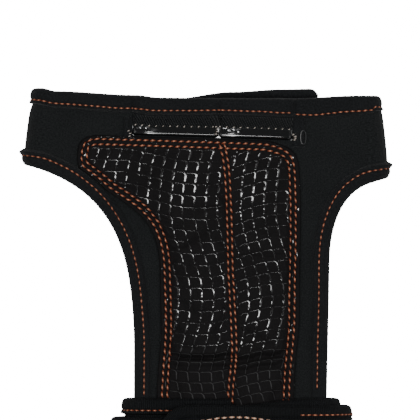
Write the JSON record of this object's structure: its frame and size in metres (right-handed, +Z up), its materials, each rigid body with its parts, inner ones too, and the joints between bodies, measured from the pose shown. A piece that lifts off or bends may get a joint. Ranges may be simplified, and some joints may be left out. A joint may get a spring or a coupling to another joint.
{
  "type": "weightlifting hand grip with wrist wrap",
  "caption": "Fingerless lifting grip for the left hand, palm up: bound neoprene palm, printed pad, finger loops and a wound wrist wrap.",
  "frame": {"origin": "middle of the underside of the whole grip's box, as it lies palm up", "axes": "+Y along the palm towards the fingers, +X towards the little finger, +Z up out of the palm"},
  "size_m": [0.11, 0.1696, 0.0312],
  "materials": {
    "neoprene": "black knit faced neoprene, matt with a faint heather",
    "binding_tape": "black folded knit tape, topstitched in burnt orange",
    "ribbed_elastic": "black ribbed elastic with a soft shine",
    "printed_pad": "black microfibre with a raised glossy grid print",
    "web_knit": "black stretch knit",
    "wrap_elastic": "black woven elastic with fine ribs",
    "wrap_binding": "black ribbed elastic tape, topstitched in burnt orange",
    "hook_tape": "black hook tape",
    "label_leather": "bare black patch stitched in peach thread"
  },
  "bodies": {
    "root": {"palm_body": "neoprene", "back_panel": "neoprene", "top_binding": "binding_tape", "thumb_side_binding": "binding_tape", "little_side_binding": "binding_tape", "back_top_binding": "binding_tape", "back_lower_binding": "binding_tape", "finger_strip": "ribbed_elastic", "palm_pad": "printed_pad", "finger_web_1": "web_knit", "finger_web_2": "web_knit", "finger_web_3": "web_knit", "wrist_wrap": "wrap_elastic", "wrap_top_binding": "wrap_binding", "wrap_lower_binding": "wrap_binding", "hook_patch": "hook_tape", "label_patch": "label_leather"}
  },
  "joints": []
}
